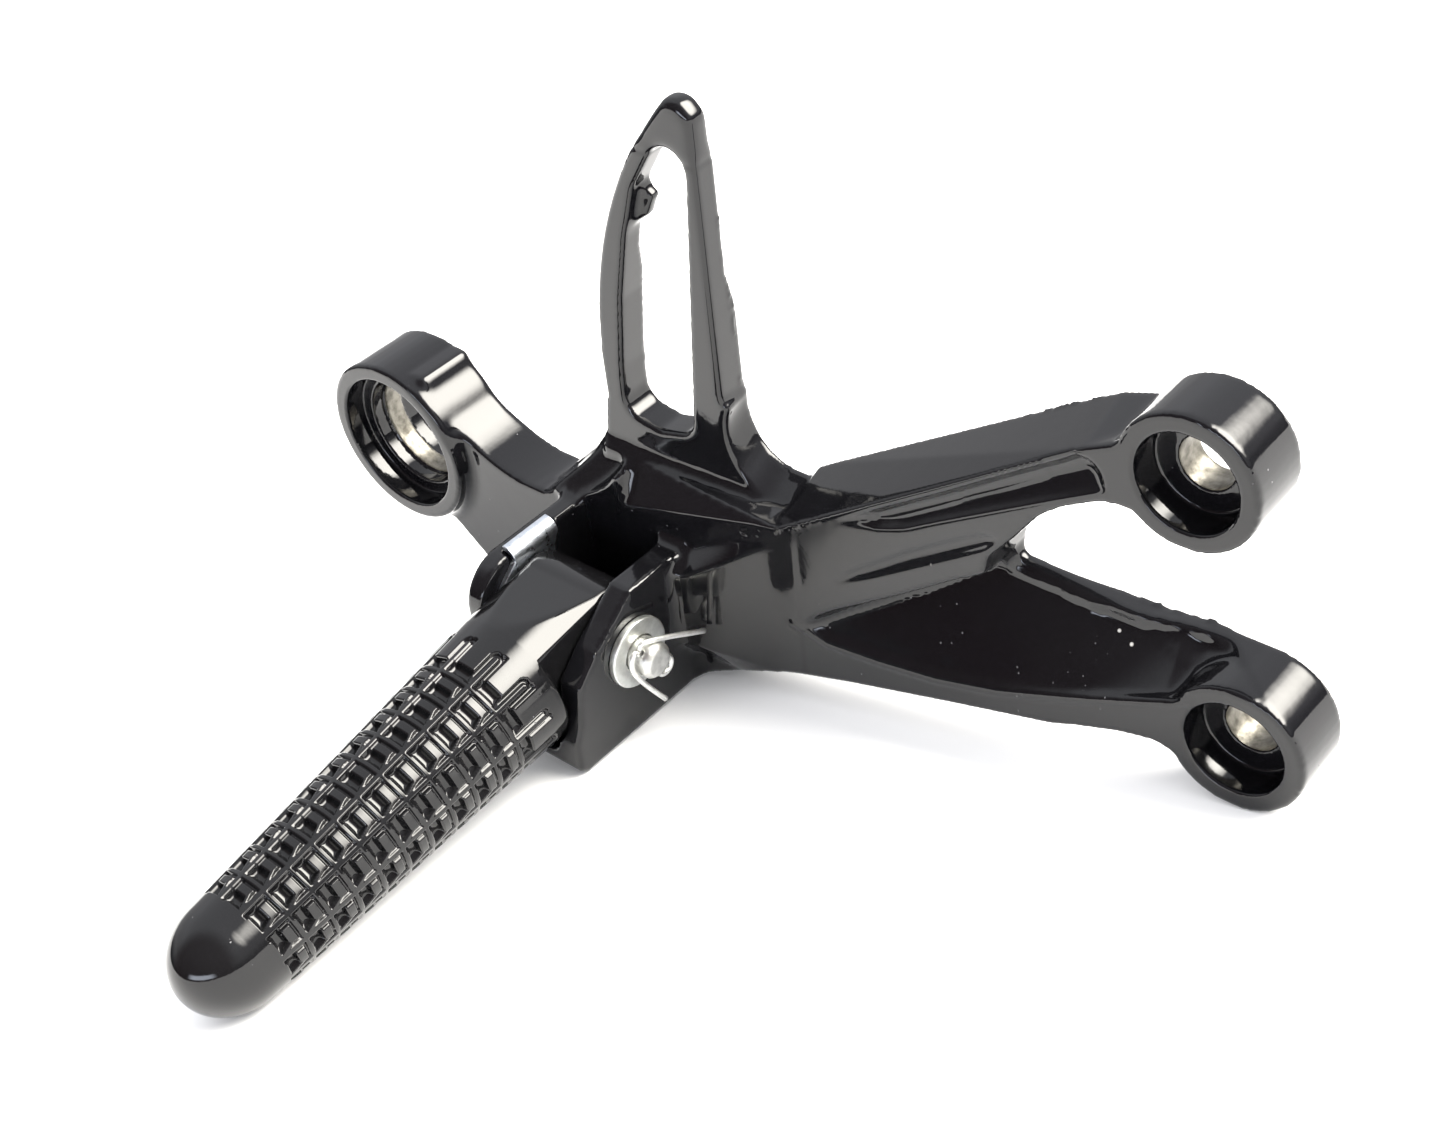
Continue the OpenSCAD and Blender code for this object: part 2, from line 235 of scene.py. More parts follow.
class Voxels:
    """A box of voxels around a surface, with its coordinates in mm and distance fields on it."""

    def __init__(self, points):
        self.low = points.min(0) - MARGIN
        self.shape = tuple(int(n) for n in np.ceil((points.max(0) + MARGIN - self.low) / VOXEL) + 1)
        axes = [self.low[i] + VOXEL * np.arange(self.shape[i], dtype=np.float32) for i in range(3)]
        grid = np.meshgrid(*axes, indexing="ij", sparse=True)
        self.x, self.y, self.z = (a.astype(np.float32) for a in grid)

    def distance(self, points, tris=np.zeros((0, 3), np.uint32), quads=np.zeros((0, 4), np.uint32)):
        """Signed distance in mm to a closed surface."""
        shifted = (np.asarray(points, np.float64) - self.low).astype(np.float32)
        grid = openvdb.FloatGrid.createLevelSetFromPolygons(
            shifted, triangles=tris, quads=quads, transform=openvdb.createLinearTransform(VOXEL),
            halfWidth=BAND / VOXEL)
        field = np.full(self.shape, BAND, np.float32)
        grid.copyToArray(field, ijk=(0, 0, 0))
        return field

    def surface(self, field, level=0.0):
        """Points and quads of the surface where the field passes the level."""
        grid = openvdb.FloatGrid(BAND)
        grid.copyFromArray(np.clip(field, -BAND, BAND).astype(np.float32))
        grid.transform = openvdb.createLinearTransform(VOXEL)
        grid.gridClass = openvdb.GridClass.LEVEL_SET
        points, quads = grid.convertToQuads(isovalue=level)
        return points + self.low, quads

    def offset(self, field, level):
        """The field moved out by the level, measured afresh, and moved back in."""
        points, quads = self.surface(field, level)
        return self.distance(points, quads=quads) + level

    def round_y(self, centre, r, y0, y1):
        """Distance to a round bar along Y."""
        radial = np.sqrt((self.x - centre[0]) ** 2 + (self.z - centre[1]) ** 2) - r
        return np.maximum(radial, np.maximum(y0 - self.y, self.y - y1)).astype(np.float32)


def smooth_max(a, b, k):
    h = np.clip(0.5 + 0.5 * (a - b) / k, 0, 1)
    return b * (1 - h) + a * h + k * h * (1 - h)


def smooth_min(a, b, k):
    h = np.clip(0.5 + 0.5 * (b - a) / k, 0, 1)
    return b * (1 - h) + a * h - k * h * (1 - h)


def blur(field, passes):
    for _ in range(passes):
        for axis in range(3):
            field = (np.roll(field, 1, axis) + 2 * field + np.roll(field, -1, axis)) * np.float32(0.25)
    return field


def node_triangles(obj):
    """The vertices in mm and the triangles of a CAD node."""
    mesh = obj.data
    mesh.calc_loop_triangles()
    tris = np.zeros(len(mesh.loop_triangles) * 3, np.int32)
    mesh.loop_triangles.foreach_get("vertices", tris)
    return coordinates(mesh) / MM + ORIGIN, tris.reshape(-1, 3).astype(np.uint32)


def lean_web(field, box):
    """Makes the lower arm's web lean back behind its top flange, more steeply towards the boss."""
    x, y, z = box.x, box.y, box.z
    foot, rim, lean = (np.interp(x, *table).astype(np.float32) for table in (WEB_FOOT, WEB_RIM, WEB_LEAN))
    web = np.minimum(FRONT_Y + 0.5 + lean * (z - foot), WEB_DEEPEST)
    ends = np.maximum(WEB_ENDS[0] - x, x - WEB_ENDS[1])
    fill = np.maximum(np.maximum(0.8 * (web - y), y - 31.5), np.maximum(foot + 0.3 - z, z - rim))
    field = np.minimum(field, np.maximum(fill, ends))
    room = np.maximum(np.maximum((y - web) * 0.85, np.maximum(foot - z, z - rim)), ends)
    from_boss = np.sqrt((x - LOWER_BOSS[0]) ** 2 + (z - LOWER_BOSS[1]) ** 2)
    return np.maximum(field, -np.maximum(room, WEB_BOSS_R - from_boss))


def fill_ear_corner(field, box):
    """A broad hollow where the right ear's outer face runs into the front of the arms' root."""
    x, y, z = (a.ravel() for a in (box.x, box.y, box.z))
    rows = int(np.nonzero(y < FRONT_Y + 3)[0][-1])
    for i in np.nonzero((x > EAR_OUT) & (x < 48))[0]:
        at = float(x[i])
        swell = 0.12 * (40 - at + math.hypot(40 - at, 3.5))
        reach = np.clip((17 + (at - 19.3) * 0.6 - z) / 5, 0, 1) * np.clip((z + 14) / 6, 0, 1)
        step = (swell * reach / VOXEL)[None, :] + np.arange(rows)[:, None]
        n = np.floor(step).astype(np.int64)
        part = (step - n).astype(np.float32)
        moved = (np.take_along_axis(field[i], n, 0) * (1 - part)
                 + np.take_along_axis(field[i], n + 1, 0) * part)
        field[i, :rows] = np.minimum(field[i, :rows], moved)
    return field


def ease_left_ear(field, box):
    """Room under the setting plate's bend, along the left ear's top inner edge."""
    x, y, z = box.x, box.y, box.z
    lift = (x - LEFT_IN) + (z - EAR_TOP) + 2.5
    return np.maximum(field, np.minimum(
        np.minimum(lift / 1.414, 4 - np.abs(x - LEFT_IN)),
        np.minimum(7.2 - np.abs(y - 3.0), 4 - np.abs(z - EAR_TOP))))


def soften_top(field, z, z0, z1, passes):
    """Blurs the field above z0, fully so above z1."""
    k = int(np.nonzero(z.ravel() > z0)[0][0])
    part = field[:, :, k:]
    share = np.clip((z[:, :, k:] - z0) / (z1 - z0), 0, 1)
    field[:, :, k:] = part + (blur(part, passes) - part) * share
    return field


def soften_shoulder(field, box):
    """Blurs the ring's shoulder above the left arm."""
    near = np.maximum(np.abs(box.x + 51.5) - 9, np.abs(box.z - 24) - 9)
    return field + (blur(field, 7) - field) * np.clip(-near / 3, 0, 1)


def ripple(*where):
    """Irregular grit between 0 and 1, the same on every run."""
    total = 0
    for size, share in GRIT_SIZES:
        cells = (np.floor(q / size).astype(np.int64) * step for q, step in zip(where, GRIT_STEPS))
        total = total + share * GRIT[sum(cells) % GRIT_COUNT]
    return total


def add_flash(field, box):
    """Rough ridges along the parting line."""
    axes = (box.x, box.y, box.z)
    for line, height in FLASH:
        for p, q in zip(line[:-1], line[1:]):
            p, q = np.array(p, np.float32), np.array(q, np.float32)
            lo, hi = np.minimum(p, q) - FLASH_REACH, np.maximum(p, q) + FLASH_REACH
            inside = [np.nonzero((a.ravel() >= lo[k]) & (a.ravel() <= hi[k]))[0] for k, a in enumerate(axes)]
            part = tuple(slice(i[0], i[-1] + 1) for i in inside)
            x, y, z = box.x[part[0]], box.y[:, part[1]], box.z[:, :, part[2]]
            d = q - p
            t = np.clip(((x - p[0]) * d[0] + (y - p[1]) * d[1] + (z - p[2]) * d[2]) / (d @ d), 0, 1)
            away = np.sqrt((x - p[0] - t * d[0]) ** 2 + (y - p[1] - t * d[1]) ** 2
                           + (z - p[2] - t * d[2]) ** 2)
            rough = np.clip(2.6 * ripple(x, y, z) - 1.1, 0, 1.2)
            field[part] -= height * np.exp(-(away / FLASH_WIDTH) ** 2) * rough
    return field


def machined_holes(box):
    """Distance to the inside of the frame bolt holes, the ring's bore and the pin's bore."""
    bores = [(LEFT_BOSS, RING_MOUTH_R, LEFT_FRONT_Y - CLEAR, LEFT_FRONT_Y + 5.5),
             (LEFT_BOSS, RING_STEP_R, LEFT_FRONT_Y - CLEAR, LIP_Y),
             (LEFT_BOSS, RING_LIP_R, LEFT_FRONT_Y - CLEAR, BACK_Y + CLEAR),
             (LEFT_BOSS, RING_STEP_R, LIP_END_Y, BACK_Y + CLEAR)]
    for centre in (UPPER_BOSS, LOWER_BOSS):
        bores += [(centre, COUNTERBORE_R, FRONT_Y - CLEAR, SEAT_Y),
                  (centre, BOLT_R, FRONT_Y - CLEAR, BACK_Y + CLEAR)]
    hole = np.full(box.shape, 9, np.float32)
    for bore in bores:
        hole = np.minimum(hole, box.round_y(*bore))
    return np.minimum(hole, np.maximum(np.sqrt(box.y ** 2 + box.z ** 2) - PIN_HOLE_R, np.abs(box.x) - 40))


def casting():
    """The CAD bracket as a distance field, with its corners rounded and the cast details added."""
    points, tris = node_triangles(nodes["bracket"])
    box = Voxels(points)
    field = box.distance(points, tris=tris)
    field = lean_web(field, box)
    field = fill_ear_corner(field, box)
    # The machined holes are filled while the casting's corners are rounded, and cut again afterwards
    for centre in (UPPER_BOSS, LOWER_BOSS):
        field = np.minimum(field, box.round_y(centre, 11, FRONT_Y, BACK_Y))
    field = np.minimum(field, box.round_y(LEFT_BOSS, 18, LEFT_FRONT_Y, BACK_Y))
    field = np.minimum(field, np.maximum(np.sqrt(box.y ** 2 + box.z ** 2) - 5,
                                         np.maximum(LEFT_OUT - box.x, box.x - EAR_OUT)))
    field = box.offset(field, FILLET)              # fills inner corners
    field = box.offset(field, -EDGE_ROUND)         # rounds outer edges
    field = ease_left_ear(field, box)
    field = soften_top(field, box.z, 102.5, 106.5, 9)
    field = soften_shoulder(field, box)
    field = add_flash(field, box)
    field = np.maximum(field, box.y - BACK_Y)
    points, quads = box.surface(smooth_max(field, -machined_holes(box), BORE_EDGE))
    return quad_mesh("casting", points, quads[:, ::-1])


bracket = casting()
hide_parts("bracket")
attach(bracket, "hanger")

# ---------------------------------------------------------------- foot peg

AROUND = 432
REAR = 11.65             # the tongue's rounded end, behind the pivot
TONGUE_HEIGHT = 12.3     # half its height behind the pivot
CORNER = 0.35
SHOULDER_ROUND = 0.9
CAP_START = GRIP_END + 3

# The waffle pattern, in mm
RIBS = 12
PITCH = 2 * math.pi / RIBS
RING_PITCH = 6.29
FIRST_RING = 33.3
SLOT_START = 23.4
RIB = 0.55               # half widths of a rib and a ring
RING = 0.36
GROOVE = 1.15
PAD_END = 2.9            # the pad ends and the pocket starts this far past a ring
GROOVE_DEPTH = 0.9
POCKET_DEPTH = 1.75
NONE = -1.0              # a distance that leaves a groove out


def soft_step(d, width):
    """0 below d = 0 and 1 above, over a short slope."""
    t = np.clip(d / width + 0.5, 0, 1)
    return t * t * (3 - 2 * t)


def hollow(d, half):
    """A groove's round-bottomed profile: 0 at its edge and 1 at half its width."""
    t = np.clip(d / half, 0, 1)
    return np.sqrt(np.clip(1 - (1 - t) ** 2, 0, 1))


def relief(theta, s, r):
    """Depth in mm of the waffle pattern at angle theta and distance s along the peg."""
    theta = theta + 0.33 * PITCH
    across = (np.mod(theta + PITCH / 2, PITCH) - PITCH / 2) * r        # mm right of the nearest rib
    right = np.mod(theta, PITCH) * r                                   # mm from the rib on the left
    left = PITCH * r - right                                           # mm to the rib on the right
    first = s < FIRST_RING
    past = np.where(first, s - (FIRST_RING - RING_PITCH),
                    np.mod((s - FIRST_RING) / RING_PITCH, 1.0) * RING_PITCH)
    to_tip = RING_PITCH - past                                         # mm to the ring on the tip's side
    # Groove along the right side of each rib
    along = np.minimum(right - RIB, RIB + GROOVE - right)
    along = np.minimum(along, np.where(first, 99.0, past - RING))
    along = np.minimum(along, to_tip - RING)
    # Narrow groove on the tip side of each ring, and a wedge beside the next rib
    under = np.minimum(np.minimum(past - RING, RING + 0.75 - past), np.minimum(right - RIB, left - RIB))
    under = np.where(first, NONE, under)
    wedge = np.minimum(left - RIB, RIB + 0.85 * np.clip((4.2 - past) / 2.2, 0.0, 1) - left)
    wedge = np.where(first, NONE, np.minimum(wedge, past - RING))
    # Pocket on the tip side of the pad; its far end slants
    slant = np.clip((RING_PITCH - RING - past) / (RING_PITCH - RING - PAD_END), 0, 1)
    far = left - RIB - 0.15 - 1.05 * slant
    pocket = np.minimum(np.minimum(right - RIB, far), np.minimum(past - PAD_END, to_tip - RING - 0.25))
    # The first grooves end in round slots about each rib
    slot_r = RIB + GROOVE
    reach = np.sqrt(across ** 2 + np.minimum(s - (SLOT_START + slot_r), 0) ** 2)
    slot = np.minimum(slot_r - reach, reach - RIB)
    slot = np.where(first, np.minimum(slot, to_tip - RING), NONE)
    depth = GROOVE_DEPTH * np.maximum(np.maximum(hollow(along, 0.5), hollow(slot, 0.5)),
                                      np.maximum(0.8 * hollow(under, 0.36), 0.75 * hollow(wedge, 0.42)))
    depth = np.maximum(depth, POCKET_DEPTH * hollow(pocket, 1.25))
    return depth * (soft_step(s - SLOT_START, 0.1) * soft_step(GRIP_END - s, 0.1))


def peg_stations():
    """Distances along the peg, from the tongue's rounded end to the cap's tip, close where it curves."""
    out = [-REAR * math.sin(a) for a in np.linspace(math.radians(88), 0, 26)]
    out += list(np.linspace(0.6, SHOULDER - 0.6, 26))
    out += [SHOULDER + d for d in (-0.25, -0.08, 0.05, 0.15, 0.3, 0.5, 0.9)]
    out += list(np.arange(21.2, GRIP_END + 0.6, 0.2))
    out += list(np.linspace(GRIP_END + 1.0, CAP_START, 6))
    turn = np.linspace(0.05, math.radians(89.5), 30)
    return out + [CAP_START + (PEG_LENGTH - CAP_START) * math.sin(a) for a in turn]


def peg_radius(s, t):
    """The peg's radius at distance s and angle t: a flat-sided tongue, then the round grip and its cap."""
    slope = (GRIP_R0 - GRIP_R1) / (GRIP_END - SHOULDER)
    along = np.clip((s - CAP_START) / (PEG_LENGTH - CAP_START), 0, 1)
    dome = (GRIP_R1 - slope * 3) * np.sqrt(np.clip(1 - along ** 2, 0, 1))
    grip = np.where(s > CAP_START, dome, GRIP_R0 - slope * (s - SHOULDER))
    # Small round-over on the shoulder's edge, where it stands out past the tongue's sides
    lead = np.clip((s - SHOULDER) / SHOULDER_ROUND, 0, 1)
    beside = np.clip((np.abs(np.sin(t)) * GRIP_R0 - TONGUE_HALF - 0.3) / 1.5, 0, 1)
    grip = grip - np.where((s >= SHOULDER) & (s < SHOULDER + SHOULDER_ROUND),
                           SHOULDER_ROUND * beside * (1 - np.sqrt(1 - (1 - lead) ** 2)), 0)
    size = (len(s), AROUND)
    grip = grip - relief(np.broadcast_to(t, size), np.broadcast_to(s, size), grip)
    # The tongue's top and bottom slope up until they meet the round of the grip
    height = np.where(s < 0, TONGUE_HEIGHT * np.sqrt(np.clip(1 - (s / REAR) ** 2, 0.0004, None)),
                      TONGUE_HEIGHT + (GRIP_R0 + 0.1 - TONGUE_HEIGHT) * s / 19.0)
    cos_t, sin_t = np.abs(np.cos(t)) + 1e-6, np.abs(np.sin(t)) + 1e-6
    tongue = smooth_min(GRIP_R0 * np.ones_like(t) + 0 * s, height / cos_t, CORNER)
    tongue = smooth_min(tongue, TONGUE_HALF / sin_t + 0 * s, CORNER)
    return np.where(s < SHOULDER, tongue, grip)


def peg_mesh():
    stations = peg_stations()
    rows = len(stations)
    s = np.array(stations)[:, None]
    t = (np.arange(AROUND) / AROUND * 2 * math.pi)[None, :]
    r = peg_radius(s, t)
    out_dir = np.array([0, -math.cos(DROOP), -math.sin(DROOP)])
    up_dir = np.array([0, -math.sin(DROOP), math.cos(DROOP)])
    x_dir = np.array([1.0, 0, 0])
    verts = (s[:, :, None] * out_dir + (r * np.cos(t))[:, :, None] * up_dir
             + (r * np.sin(t))[:, :, None] * x_dir).reshape(-1, 3)
    a, b, c, d = ring_quads(rows, AROUND)
    # The two ends are closed with fans
    verts = np.vstack([verts, verts[:AROUND].mean(0), out_dir * PEG_LENGTH])
    tail, tip, last = rows * AROUND, rows * AROUND + 1, (rows - 1) * AROUND
    fans = [((q + 1) % AROUND, q, tail) for q in range(AROUND)]
    fans += [(last + q, last + (q + 1) % AROUND, tip) for q in range(AROUND)]
    return new_mesh("grip", verts, as_tuples((a, b, d, c)) + fans)


peg = peg_mesh()
cut(peg, [bar("hole", PIN_R + 0.05, (-20, 0, 0), (20, 0, 0)),
          bar("bore", BALL_R, (-20, BALL_Y, 0), (-TONGUE_HALF + BALL_BORE_DEPTH, BALL_Y, 0), 48)])
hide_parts("foot_peg")
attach(peg, "peg")

# ---------------------------------------------------------------- hardware

WIRE_R = 0.6
WIRE_SIDES = 14
LEG_GAP = 0.45           # from the split pin's middle plane to each leg's middle
EYE_R = 2.1
CROSS_HOLE_R = 1.0
TILT = math.radians(90 - 52)
TAB_EDGES = (-3.6, 9.6)  # the setting plate's tab, along Y
TAB_REACH = 2.2
BEND_R = 2.9


def lathe(name, profile, segments=96):
    """Closed profile of (radius, distance along X) points turned about the pin's axis."""
    turn = np.arange(segments) / segments * 2 * math.pi
    r = np.array([q[0] for q in profile])[:, None]
    along = np.array([q[1] for q in profile])[:, None]
    verts = np.stack([along + 0 * turn, r * np.cos(turn), r * np.sin(turn)], -1).reshape(-1, 3)
    a, b, c, d = ring_quads(len(profile), segments, closed=True)
    obj = new_mesh(name, verts, as_tuples((a, c, d, b)))
    clean(obj)
    return obj


def round_corner(points, radius, steps=4):
    """A closed profile with each corner rounded."""
    out = []
    n = len(points)
    for i in range(n):
        p, a, b = (np.array(points[k % n], float) for k in (i, i - 1, i + 1))
        u, v = a - p, b - p
        lu, lv = np.linalg.norm(u), np.linalg.norm(v)
        c = min(radius, 0.45 * lu, 0.45 * lv)
        if p[0] < 1e-6 or c < 1e-6:
            out.append(tuple(p))
            continue
        p0, p1 = p + u / lu * c, p + v / lv * c
        for t in np.linspace(0, 1, steps + 1):
            out.append(tuple((1 - t) ** 2 * p0 + 2 * t * (1 - t) * p + t ** 2 * p1))
    return out


def smooth_path(points, steps):
    """Catmull-Rom curve through the points."""
    p = [np.array(q, float) for q in points]
    p = [2 * p[0] - p[1]] + p + [2 * p[-1] - p[-2]]
    out = []
    for i in range(1, len(p) - 2):
        for t in np.arange(steps) / steps:
            a, b, c, d = p[i - 1:i + 3]
            out.append(0.5 * (2 * b + (c - a) * t + (2 * a - 5 * b + 4 * c - d) * t ** 2
                              + (3 * b - a - 3 * c + d) * t ** 3))
    out.append(p[-2])
    return out


def wire(path):
    """Vertices and faces of round wire swept along the path, with closed ends."""
    m, n = WIRE_SIDES, len(path)
    section = [(WIRE_R * math.cos(a), WIRE_R * math.sin(a)) for a in np.arange(m) / m * 2 * math.pi]
    verts, faces = [], []
    up = None
    for i, here in enumerate(path):
        d = path[min(i + 1, n - 1)] - path[max(i - 1, 0)]
        d = d / np.linalg.norm(d)
        if up is None:
            up = np.cross(d, [1, 0, 0]) if abs(d[0]) < 0.9 else np.cross(d, [0, 1, 0])
        up = up - d * (up @ d)
        up /= np.linalg.norm(up)
        side = np.cross(d, up)
        verts += [here + side * q[0] + up * q[1] for q in section]
    for a in range(0, (n - 1) * m, m):
        faces += [(a + j, a + (j + 1) % m, a + m + (j + 1) % m, a + m + j) for j in range(m)]
    faces += [tuple(range(m - 1, -1, -1)), tuple(range((n - 1) * m, n * m))]
    return verts, faces


# The washer is stamped, so its edges are slightly rounded
washer = lathe("washer", round_corner([(WASHER_HOLE_R, EAR_OUT), (WASHER_R, EAR_OUT), (WASHER_R, WASHER_FACE),
                                       (WASHER_HOLE_R, WASHER_FACE)], 0.4))
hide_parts("plain_washer")
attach(washer, "hanger")

HEAD = round_corner([(HEAD_R, LEFT_OUT - HEAD_T), (HEAD_R, LEFT_OUT), (PIN_R, LEFT_OUT)], 0.5)[:-1]
SHANK = [(PIN_R, LEFT_OUT)] + [(PIN_R, x) for x in np.linspace(LEFT_OUT + 1, PIN_END - 1.15, 12)]
CHAMFER = [(PIN_R - 0.08, PIN_END - 0.95), (PIN_R - 0.85, PIN_END - 0.1), (PIN_R - 1.05, PIN_END)]
DISHED_END = [(2.0, PIN_END), (1.0, PIN_END - 0.05), (0, PIN_END - 0.05)]
pin = lathe("pin", [(0, LEFT_OUT - HEAD_T)] + HEAD + SHANK + CHAMFER + DISHED_END)
# The split pin's cross hole, turned about the pin's axis
z_dir = np.array([0, -math.sin(TILT), math.cos(TILT)])
y_dir = np.array([0, math.cos(TILT), math.sin(TILT)])
middle = np.array([COTTER_X, 0, 0])
cut(pin, [bar("cross_hole", CROSS_HOLE_R, middle - 6 * z_dir, middle + 6 * z_dir, 32)])
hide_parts("pivot_pin")
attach(pin, "hanger")


def split_pin():
    """Two legs of wire pressed together through the pin, with an eye behind and the legs bent apart in front."""
    eye = middle - z_dir * (PIN_R + 2.6)
    turn = np.linspace(0.35, 2 * math.pi - 0.35, 40)
    ring = [eye + EYE_R * (math.cos(a) * z_dir + math.sin(a) * y_dir) for a in turn]
    back, front = ([middle - z_dir * 3.6 + y_dir * side, middle + z_dir * 3.4 + y_dir * side]
                   for side in (LEG_GAP, -LEG_GAP))
    upper = [(COTTER_X + 0.2, -2.0, 4.9), (COTTER_X + 0.9, -0.2, 5.0), (COTTER_X + 1.9, 5.0, 3.0),
             (COTTER_X + 2.8, 9.6, 0.9), (COTTER_X + 3.5, 13.6, -0.9)]
    lower = [(COTTER_X, -3.9, 3.7), (COTTER_X + 0.15, -5.3, 2.2), (COTTER_X + 0.5, -5.2, -0.6),
             (COTTER_X + 1.0, -2.6, -5.6), (COTTER_X + 1.6, 1.4, -12.0)]
    verts, faces = wire(smooth_path(upper[::-1] + back[::-1] + ring + front + lower, 5))
    obj = new_mesh("wire_pin", verts, faces)
    clean(obj)
    return obj


cotter = split_pin()
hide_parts("split_pin")
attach(cotter, "hanger")


def setting_plate():
    """Sheet bent over the top of the left ear, its leg lying between the ear and the tongue."""
    x0, x1 = LEFT_IN, LEFT_IN + SHEET
    # The section in X and Z: round the bend and out along the tab
    cx, cz = x1 - BEND_R, EAR_TOP + SHEET - BEND_R
    outer, inner = ([(cx + r * math.cos(a), cz + r * math.sin(a)) for a in np.linspace(0, math.pi / 2, 9)]
                    for r in (BEND_R, BEND_R - SHEET))
    outer.append((x0 - TAB_REACH, EAR_TOP + SHEET))
    inner.append((x0 - TAB_REACH, EAR_TOP))
    # The leg's height and its front and back edges, from the bottom up
    leg = [(-9.0, -7.5, 1.8), (-8.8, -8.6, 2.6), (-2.0, -12.6, 8.0), (0.0, -12.7, 9.0), (6.0, -11.2, 8.2),
           (8.0, -9.6, 7.6), (10.0, -7.6, 8.0), (12.0, -5.2, 8.8), (cz, *TAB_EDGES)]
    rows = [((x1, z), (x0, z), y0, y1) for z, y0, y1 in leg]
    rows += [(o, i, *TAB_EDGES) for o, i in zip(outer[1:], inner[1:])]
    verts, faces = [], []
    for (ox, oz), (ix, iz), y0, y1 in rows:
        verts += [(ox, y0, oz), (ox, y1, oz), (ix, y1, iz), (ix, y0, iz)]
    for a in range(0, 4 * (len(rows) - 1), 4):
        faces += [(a + j, a + (j + 1) % 4, a + 4 + (j + 1) % 4, a + 4 + j) for j in range(4)]
    faces += [(3, 2, 1, 0), tuple(4 * (len(rows) - 1) + j for j in range(4))]
    obj = new_mesh("plate", verts, faces, smooth=False)
    clean(obj)
    cut(obj, [bar("plate_hole", PIN_R + 0.2, (-20, 0, 0), (-5, 0, 0))])
    bevel = obj.modifiers.new("bevel", "BEVEL")
    bevel.width = 0.00012
    bevel.segments = 2
    bevel.angle_limit = math.radians(35)
    return obj


plate = setting_plate()
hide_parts("setting_plate")
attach(plate, "hanger")
for piece in (plate, washer, pin):
    smooth_by_angle(piece)

# ---------------------------------------------------------------- materials


class Nodes:
    """Short calls that add shader nodes to a tree and link their sockets."""

    def __init__(self, tree):
        self.tree = tree

    def put(self, value, socket):
        """Links a socket, or sets a plain value."""
        if isinstance(value, bpy.types.NodeSocket):
            self.tree.links.new(value, socket)
        else:
            socket.default_value = value

    def add(self, kind, inputs=None, **props):
        node = self.tree.nodes.new(kind)
        for key, value in props.items():
            setattr(node, key, value)
        for key, value in (inputs or {}).items():
            self.put(value, node.inputs[key])
        return node

    def math(self, op, a, b=0.0):
        return self.add("ShaderNodeMath", {0: a, 1: b}, operation=op).outputs["Value"]

    def ramp(self, value, low, high, to_low=0.0, to_high=1.0, **props):
        return self.add("ShaderNodeMapRange", {"Value": value, "From Min": low, "From Max": high,
                                               "To Min": to_low, "To Max": to_high}, **props).outputs["Result"]

    def mix(self, fac, a, b):
        colours = ((*c, 1) if isinstance(c, tuple) else c for c in (a, b))
        node = self.add("ShaderNodeMix", data_type="RGBA")
        for key, value in zip((0, 6, 7), (fac, *colours)):
            self.put(value, node.inputs[key])
        return node.outputs[2]


class Shade(Nodes):
    """A node material about one Principled shader."""

    def __init__(self, name, color, metallic, rough):
        self.mat = bpy.data.materials.new(name)
        self.mat.use_nodes = True
        super().__init__(self.mat.node_tree)
        self.bsdf = self.tree.nodes["Principled BSDF"]
        self.link((*color, 1), "Base Color")
        self.link(metallic, "Metallic")
        self.link(rough, "Roughness")
        self.place = self.add("ShaderNodeTexCoord").outputs["Object"]

    def link(self, value, socket):
        self.put(value, self.bsdf.inputs[socket])

    def noise(self, scale, detail=2.0, rough=0.5):
        return self.add("ShaderNodeTexNoise", {"Vector": self.place, "Scale": scale, "Detail": detail,
                                               "Roughness": rough}).outputs["Fac"]

    def spots(self, scale, size):
        """1 in small scattered spots and 0 elsewhere."""
        cells = self.add("ShaderNodeTexVoronoi", {"Vector": self.place, "Scale": scale, "Randomness": 1.0})
        return self.ramp(cells.outputs["Distance"], size, size * 0.55)

    def bump(self, height, distance, strength=1.0, base=None):
        inputs = {"Height": height, "Distance": distance, "Strength": strength}
        if base is not None:
            inputs["Normal"] = base
        return self.add("ShaderNodeBump", inputs).outputs["Normal"]


def paint_material(name, tint, peel):
    """Gloss black stove enamel: faint orange peel, dust under the coat, and a few bare chips."""
    m = Shade(name, tint, 0.0, 0.07)
    m.link(1.42, "IOR")
    dust = m.math("MULTIPLY", m.spots(420, 0.09), m.ramp(m.noise(60, 1.0), 0.60, 0.64))
    chips = m.math("MULTIPLY", m.spots(150, 0.07), m.ramp(m.noise(35, 1.0), 0.62, 0.66))
    colour = m.mix(dust, tint, (0.09, 0.09, 0.095))
    m.link(m.mix(chips, colour, (0.45, 0.44, 0.42)), "Base Color")
    rough = m.ramp(m.noise(70), 0.3, 0.7, 0.045, 0.085)
    m.link(m.math("ADD", rough, m.math("MULTIPLY", dust, 0.3)), "Roughness")
    normal = m.bump(m.noise(140), 0.0004, peel)
    normal = m.bump(m.noise(900, 1.0), 0.00001, 0.5, normal)
    m.link(m.bump(dust, 0.00006, 0.7, normal), "Normal")
    return m.mat


def metal_material(name, colour, dark, rough, grain, relief_strength=0.3):
    """Plated or bare metal: cloudy tone, fine grain and slight tarnish."""
    m = Shade(name, colour, 1.0, rough)
    cloud = m.ramp(m.noise(420, 3.0, 0.6), 0.35, 0.7)
    m.link(m.mix(cloud, colour, dark), "Base Color")
    m.link(m.ramp(m.noise(grain, 3.0, 0.6), 0.3, 0.7, rough * 0.8, rough * 1.3), "Roughness")
    m.link(m.bump(m.noise(grain * 2), 0.00003, relief_strength), "Normal")
    return m.mat


def dress(obj, *mats):
    obj.data.materials.clear()
    for mat in mats:
        obj.data.materials.append(mat)


